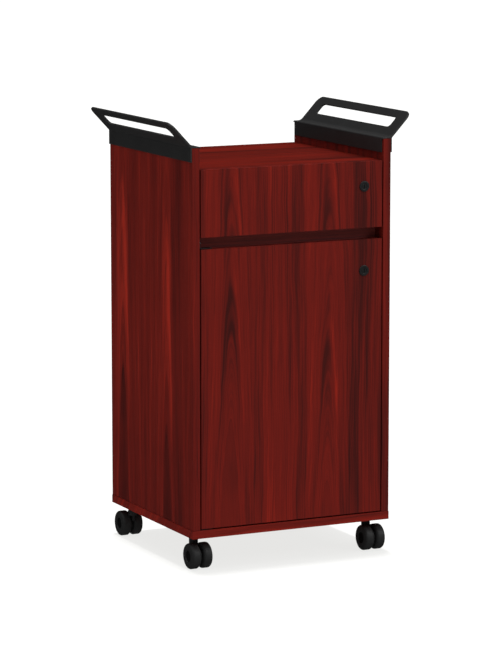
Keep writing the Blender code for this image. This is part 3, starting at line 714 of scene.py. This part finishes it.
# ---------------------------------------------------------------- door
# One laminate board, printed in line with the drawer front above it. It turns about a pin in each of
# its left corners: one on a bracket over its top end, one on a plate under its bottom end.
DOOR_HEARTS = ((-0.158, 0.71, 1), (0.094, 0.54, 1))
PIVOT_STEEL = 0.0018
PIVOT_SCREW_DROP = 0.006
PIVOT_SCREW_SPREAD = 0.0038
door = soften("door", "door_board", BOARD_ROUNDING)
door_print = laminate("mahogany_door", "door", X, Z, DOOR_HEARTS, FRONT_BANDS, FRONT_SEED)
place_piece(door, door_print, "mahogany_laminate", "door", "door")
# The pivot steel is coated a dark brown-black. The coat is real, but its colour is painted shade: it
# reads as the shadow in the gaps over the door's top end and under its bottom end.
PIVOT_SHADE_COAT = powder_coat("pivot_coat_painted_shade", (0.0075, 0.0032, 0.0028), 0.55)
for node in ("door_top_bracket", "door_bottom_pivot"):
    pivot = soften(node, f"{node}_steel", STEEL_ROUNDING, 3)
    place_piece(pivot, PIVOT_SHADE_COAT, "black_powder_coat", "cabinet", node)
low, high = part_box("door_top_bracket")
spots = [((low.x + PIVOT_STEEL, (low.y + high.y) / 2 + spread, high.z - PIVOT_SCREW_DROP), (1, 0, 0))
         for spread in (-PIVOT_SCREW_SPREAD, PIVOT_SCREW_SPREAD)]
drive_screws("pivot_screws", "cabinet", spots)


# ---------------------------------------------------------------- casters
# Four stem casters of black nylon: a plated steel stem and collar in the bottom panel, a neck with a
# web, and twin wheels with round rims and sunk hub caps, on one steel axle.
def moulded(name, level, rough):
    """Black moulded plastic: a fine matt grain."""
    made, shader, wire = new_material(name)
    spot = wire.node("TexCoord", out="Object")
    grain = wire.noise(spot, 2400.0, 2.0)
    flow = wire.noise(spot, 55.0, 2.0)
    pale = level * 1.4
    colour = wire.blend(flow, (level, level, level, 1.0), (pale, pale, pale * 1.03, 1.0))
    relief = wire.node("Bump", Strength=0.2, Distance=0.00008, Height=grain)
    feed(shader, Base_Color=colour, Roughness=rough + (flow - 0.5) * 0.12 + (grain - 0.5) * 0.1,
         Normal=relief, Specular_IOR_Level=0.2)
    return made


NYLON = moulded("black_nylon", 0.0110, 0.55)
# The sunk hub caps are a darker black than the rest of the nylon: painted shade in the hollow of the
# hub.
HUB_PAINTED_SHADE = moulded("black_hub_cap_painted_shade", 0.0022, 0.65)
WHEEL_BORE = 0.0033
HUB = 0.0140
HUB_DEPTH = 0.0025
OUTER_RIM = 0.0055
INNER_RIM = 0.0060
INNER_DROP = 0.0085
WEB_HALF = 0.0022
WEB_RADIUS = 0.0205
WHEEL_ROOM = 0.0309
NECK_LOW = 0.0525
ARM_TOP = 0.0590
ARM_START = 0.0070
STEM_BORE = 0.0053
STEM_DEPTH = 0.0125
STEM_ROUNDING = 0.0003
FORK_ROUNDING = 0.0003
low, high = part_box("caster_front_left_wheel_right")
width = high.x - low.x
radius = (high.z - low.z) / 2
floor_depth = width - HUB_DEPTH
blind = floor_depth - 0.0004
wheel_section = [(floor_depth + 0.0006, 0.0), (floor_depth + 0.0005, HUB * 0.40),
                 (floor_depth + 0.0001, HUB * 0.52), (floor_depth, HUB * 0.56),
                 (floor_depth, HUB - 0.0008), (floor_depth + 0.0003, HUB - 0.0003),
                 (width - 0.0004, HUB), (width, HUB + 0.0004)]
wheel_section += arc((width - OUTER_RIM, radius - OUTER_RIM), OUTER_RIM, 0, 90, 10)
wheel_section += [(INNER_RIM * (1 - math.sin(a)), radius - INNER_DROP * (1 - math.cos(a)))
                  for a in (math.radians(step * 9) for step in range(11))]
wheel_section += [(0.0, HUB), (0.0008, HUB - 0.0010), (0.0008, WHEEL_BORE + 0.0024),
                  (0.0, WHEEL_BORE + 0.0014), (0.0, WHEEL_BORE), (blind, WHEEL_BORE), (blind, 0.0)]
pattern = turn("wheel_pattern", wheel_section, (0, 0, 0), "X", 72)
bpy.ops.object.shade_smooth_by_angle(angle=math.radians(38))
for look in (NYLON, HUB_PAINTED_SHADE):
    pattern.data.materials.append(look)
# Faces on the floor of the sunk hub take the darker black: painted shade.
for face in pattern.data.polygons:
    middle = face.center
    sunk = middle.x > floor_depth - 0.0002 and math.hypot(middle.y, middle.z) < HUB - 0.0002
    face.material_index = 1 if sunk else 0
WHEEL = pattern.data.copy()
bpy.data.objects.remove(pattern, do_unlink=True)

for corner in ("front_left", "front_right", "back_left", "back_right"):
    caster = f"caster_{corner}"
    low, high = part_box(f"{caster}_stem")
    swivel = Vector(((low.x + high.x) / 2, (low.y + high.y) / 2, 0.0))
    low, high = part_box(f"{caster}_axle")
    axle = (low + high) / 2
    hood_low, hood_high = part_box(f"{caster}_hood")
    neck = (hood_high.x - hood_low.x) / 2
    way = 1 if axle.y > swivel.y else -1
    profile = [(NECK_LOW, 0.0), (NECK_LOW, neck), (hood_high.z - 0.0030, neck),
               (hood_high.z - 0.0026, neck - 0.0004), (hood_high.z - 0.0022, neck),
               (hood_high.z - 0.0006, neck), (hood_high.z, neck - 0.0006), (hood_high.z, 0.0)]
    hood = turn(f"{caster}_fork", profile, swivel, "Z", 56)
    profile = [(-0.03, 0.0), (-0.03, WHEEL_ROOM), (0.03, WHEEL_ROOM), (0.03, 0.0)]
    carve(hood, turn("wheel_room", profile, axle, "X", 96))
    profile = [(-WEB_HALF, 0.0), (-WEB_HALF, WEB_RADIUS - 0.0008), (-WEB_HALF + 0.0008, WEB_RADIUS),
               (WEB_HALF - 0.0008, WEB_RADIUS), (WEB_HALF, WEB_RADIUS - 0.0008), (WEB_HALF, 0.0)]
    carve(hood, turn("web", profile, axle, "X", 64), "UNION")
    near = swivel.y - way * ARM_START
    arm_half = WEB_HALF - 0.0001
    arm = brick("arm", (axle.x - arm_half, min(near, axle.y), axle.z + 0.010),
                (axle.x + arm_half, max(near, axle.y), ARM_TOP))
    carve(hood, arm, "UNION")
    profile = [(hood_high.z - STEM_DEPTH, 0), (hood_high.z - STEM_DEPTH, STEM_BORE),
               (hood_high.z + 0.01, STEM_BORE), (hood_high.z + 0.01, 0)]
    carve(hood, turn("stem_bore", profile, swivel, "Z", 32))
    profile = [(-0.01, 0), (-0.01, WHEEL_BORE), (0.01, WHEEL_BORE), (0.01, 0)]
    carve(hood, turn("axle_bore", profile, axle, "X", 24))
    round_edges(hood, FORK_ROUNDING, 2, 40.0)
    place_piece(hood, NYLON, "black_nylon", caster, f"{caster}_hood")
    stem = soften(f"{caster}_stem", f"{caster}_pintle", STEM_ROUNDING, 2)
    place_piece(stem, ZINC, "zinc_plate", "cabinet", f"{caster}_stem")
    pin = soften(f"{caster}_axle", f"{caster}_axle_pin", STEM_ROUNDING, 2)
    place_piece(pin, ZINC, "zinc_plate", caster, f"{caster}_axle")
    for side, hand in ((-1, "left"), (1, "right")):
        node = f"{caster}_wheel_{hand}"
        low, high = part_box(node)
        wheel = bpy.data.objects.new(f"{node}_tread", WHEEL.copy())
        bpy.context.scene.collection.objects.link(wheel)
        face = low.x if side > 0 else high.x
        move = Matrix.Translation((face, axle.y, axle.z)) @ Matrix.Diagonal((side, 1, 1, 1))
        wheel.data.transform(move)
        if side < 0:
            wheel.data.flip_normals()
        place_piece(wheel, None, "black_nylon", node, node)
